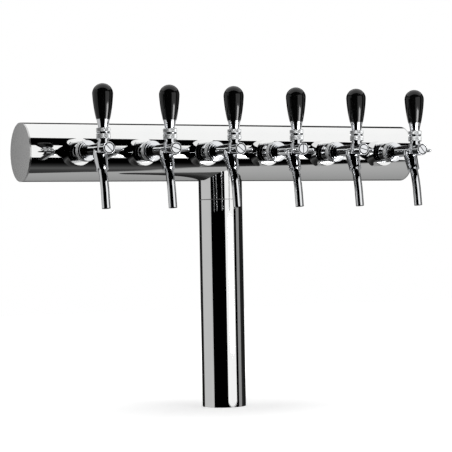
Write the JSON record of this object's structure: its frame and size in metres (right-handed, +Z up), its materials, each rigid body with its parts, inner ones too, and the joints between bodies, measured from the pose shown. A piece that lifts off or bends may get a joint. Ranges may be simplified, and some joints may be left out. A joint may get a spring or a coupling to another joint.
{
  "type": "beer tower dispenser",
  "caption": "T-shaped polished metal draught tower: a horizontal cross tube on a round column, with a row of compensator taps with black pull handles and flow levers.",
  "frame": {"origin": "centre of the column's foot, on the counter", "axes": "+X along the cross tube, to the right of a person facing the taps; -Y ahead, out of the taps; +Z up the column"},
  "size_m": [0.774, 0.2663, 0.5725],
  "materials": {
    "polished_steel_tube": "stainless tube polished to a mirror",
    "polished_steel_cap": "stainless disc or turned boss, polished",
    "plain_steel": "machined stainless steel",
    "chromed_brass": "turned brass, polished and chrome plated",
    "bare_brass": "turned brass",
    "black_knob": "black phenolic, moulded and polished",
    "black_rubber": "black food-grade rubber",
    "valve_plastic": "white acetal, turned",
    "line_plastic": "natural polyethylene tube"
  },
  "bodies": {
    "root": {"cross_tube": "polished_steel_tube", "end_cap_left": "polished_steel_cap", "end_cap_right": "polished_steel_cap", "neck_tube": "polished_steel_tube", "column_tube": "polished_steel_tube", "joint_sleeve": "plain_steel", "joint_screws": "plain_steel", "base_ring": "plain_steel", "tap_bosses": "polished_steel_cap", "boss_seals": "black_rubber", "shanks": "chromed_brass", "saddle_washers": "plain_steel", "shank_nuts": "bare_brass", "coupling_nuts": "chromed_brass", "retaining_rings": "plain_steel", "tail_seals": "black_rubber", "tap_bodies": "chromed_brass", "spout_tubes": "chromed_brass", "front_plugs": "chromed_brass", "bonnet_nuts": "chromed_brass", "compensator_glands": "chromed_brass", "beer_lines": "line_plastic"},
    "handle_1": {"handle_knob_1": "black_knob", "handle_ferrule_1": "chromed_brass", "handle_lever_1": "plain_steel"},
    "plunger_1": {"valve_plunger_1": "valve_plastic"},
    "flow_lever_1": {"compensator_lever_1": "chromed_brass"},
    "flow_cone_1": {"compensator_cone_1": "valve_plastic"},
    "handle_2": {"handle_knob_2": "black_knob", "handle_ferrule_2": "chromed_brass", "handle_lever_2": "plain_steel"},
    "plunger_2": {"valve_plunger_2": "valve_plastic"},
    "flow_lever_2": {"compensator_lever_2": "chromed_brass"},
    "flow_cone_2": {"compensator_cone_2": "valve_plastic"},
    "handle_3": {"handle_knob_3": "black_knob", "handle_ferrule_3": "chromed_brass", "handle_lever_3": "plain_steel"},
    "plunger_3": {"valve_plunger_3": "valve_plastic"},
    "flow_lever_3": {"compensator_lever_3": "chromed_brass"},
    "flow_cone_3": {"compensator_cone_3": "valve_plastic"},
    "handle_4": {"handle_knob_4": "black_knob", "handle_ferrule_4": "chromed_brass", "handle_lever_4": "plain_steel"},
    "plunger_4": {"valve_plunger_4": "valve_plastic"},
    "flow_lever_4": {"compensator_lever_4": "chromed_brass"},
    "flow_cone_4": {"compensator_cone_4": "valve_plastic"},
    "handle_5": {"handle_knob_5": "black_knob", "handle_ferrule_5": "chromed_brass", "handle_lever_5": "plain_steel"},
    "plunger_5": {"valve_plunger_5": "valve_plastic"},
    "flow_lever_5": {"compensator_lever_5": "chromed_brass"},
    "flow_cone_5": {"compensator_cone_5": "valve_plastic"},
    "handle_6": {"handle_knob_6": "black_knob", "handle_ferrule_6": "chromed_brass", "handle_lever_6": "plain_steel"},
    "plunger_6": {"valve_plunger_6": "valve_plastic"},
    "flow_lever_6": {"compensator_lever_6": "chromed_brass"},
    "flow_cone_6": {"compensator_cone_6": "valve_plastic"}
  },
  "joints": [
    {"name": "handle_1_pull", "type": "hinge", "parent": "root", "child": "handle_1", "pos_m": [-0.305, -0.189, 0.476], "axis": [1, 0, 0], "range_deg": [0, 30]},
    {"name": "plunger_1_slide", "type": "slide", "parent": "root", "child": "plunger_1", "axis": [0, 1, 0], "range_m": [0, 0.0066]},
    {"name": "flow_lever_1_turn", "type": "hinge", "parent": "root", "child": "flow_lever_1", "pos_m": [-0.305, -0.143, 0.463], "axis": [1, 0, 0], "range_deg": [-45, 45]},
    {"name": "flow_cone_1_slide", "type": "slide", "parent": "root", "child": "flow_cone_1", "axis": [0, 1, 0], "range_m": [-0.0021, 0.0021]},
    {"name": "handle_2_pull", "type": "hinge", "parent": "root", "child": "handle_2", "pos_m": [-0.183, -0.189, 0.476], "axis": [1, 0, 0], "range_deg": [0, 30]},
    {"name": "plunger_2_slide", "type": "slide", "parent": "root", "child": "plunger_2", "axis": [0, 1, 0], "range_m": [0, 0.0066]},
    {"name": "flow_lever_2_turn", "type": "hinge", "parent": "root", "child": "flow_lever_2", "pos_m": [-0.183, -0.143, 0.463], "axis": [1, 0, 0], "range_deg": [-45, 45]},
    {"name": "flow_cone_2_slide", "type": "slide", "parent": "root", "child": "flow_cone_2", "axis": [0, 1, 0], "range_m": [-0.0021, 0.0021]},
    {"name": "handle_3_pull", "type": "hinge", "parent": "root", "child": "handle_3", "pos_m": [-0.061, -0.189, 0.476], "axis": [1, 0, 0], "range_deg": [0, 30]},
    {"name": "plunger_3_slide", "type": "slide", "parent": "root", "child": "plunger_3", "axis": [0, 1, 0], "range_m": [0, 0.0066]},
    {"name": "flow_lever_3_turn", "type": "hinge", "parent": "root", "child": "flow_lever_3", "pos_m": [-0.061, -0.143, 0.463], "axis": [1, 0, 0], "range_deg": [-45, 45]},
    {"name": "flow_cone_3_slide", "type": "slide", "parent": "root", "child": "flow_cone_3", "axis": [0, 1, 0], "range_m": [-0.0021, 0.0021]},
    {"name": "handle_4_pull", "type": "hinge", "parent": "root", "child": "handle_4", "pos_m": [0.061, -0.189, 0.476], "axis": [1, 0, 0], "range_deg": [0, 30]},
    {"name": "plunger_4_slide", "type": "slide", "parent": "root", "child": "plunger_4", "axis": [0, 1, 0], "range_m": [0, 0.0066]},
    {"name": "flow_lever_4_turn", "type": "hinge", "parent": "root", "child": "flow_lever_4", "pos_m": [0.061, -0.143, 0.463], "axis": [1, 0, 0], "range_deg": [-45, 45]},
    {"name": "flow_cone_4_slide", "type": "slide", "parent": "root", "child": "flow_cone_4", "axis": [0, 1, 0], "range_m": [-0.0021, 0.0021]},
    {"name": "handle_5_pull", "type": "hinge", "parent": "root", "child": "handle_5", "pos_m": [0.183, -0.189, 0.476], "axis": [1, 0, 0], "range_deg": [0, 30]},
    {"name": "plunger_5_slide", "type": "slide", "parent": "root", "child": "plunger_5", "axis": [0, 1, 0], "range_m": [0, 0.0066]},
    {"name": "flow_lever_5_turn", "type": "hinge", "parent": "root", "child": "flow_lever_5", "pos_m": [0.183, -0.143, 0.463], "axis": [1, 0, 0], "range_deg": [-45, 45]},
    {"name": "flow_cone_5_slide", "type": "slide", "parent": "root", "child": "flow_cone_5", "axis": [0, 1, 0], "range_m": [-0.0021, 0.0021]},
    {"name": "handle_6_pull", "type": "hinge", "parent": "root", "child": "handle_6", "pos_m": [0.305, -0.189, 0.476], "axis": [1, 0, 0], "range_deg": [0, 30]},
    {"name": "plunger_6_slide", "type": "slide", "parent": "root", "child": "plunger_6", "axis": [0, 1, 0], "range_m": [0, 0.0066]},
    {"name": "flow_lever_6_turn", "type": "hinge", "parent": "root", "child": "flow_lever_6", "pos_m": [0.305, -0.143, 0.463], "axis": [1, 0, 0], "range_deg": [-45, 45]},
    {"name": "flow_cone_6_slide", "type": "slide", "parent": "root", "child": "flow_cone_6", "axis": [0, 1, 0], "range_m": [-0.0021, 0.0021]}
  ],
  "couplings": [
    {"joint": "plunger_1_slide", "follows": "handle_1_pull", "m_per_rad": 0.0125},
    {"joint": "flow_cone_1_slide", "follows": "flow_lever_1_turn", "m_per_rad": -0.0026},
    {"joint": "plunger_2_slide", "follows": "handle_2_pull", "m_per_rad": 0.0125},
    {"joint": "flow_cone_2_slide", "follows": "flow_lever_2_turn", "m_per_rad": -0.0026},
    {"joint": "plunger_3_slide", "follows": "handle_3_pull", "m_per_rad": 0.0125},
    {"joint": "flow_cone_3_slide", "follows": "flow_lever_3_turn", "m_per_rad": -0.0026},
    {"joint": "plunger_4_slide", "follows": "handle_4_pull", "m_per_rad": 0.0125},
    {"joint": "flow_cone_4_slide", "follows": "flow_lever_4_turn", "m_per_rad": -0.0026},
    {"joint": "plunger_5_slide", "follows": "handle_5_pull", "m_per_rad": 0.0125},
    {"joint": "flow_cone_5_slide", "follows": "flow_lever_5_turn", "m_per_rad": -0.0026},
    {"joint": "plunger_6_slide", "follows": "handle_6_pull", "m_per_rad": 0.0125},
    {"joint": "flow_cone_6_slide", "follows": "flow_lever_6_turn", "m_per_rad": -0.0026}
  ]
}
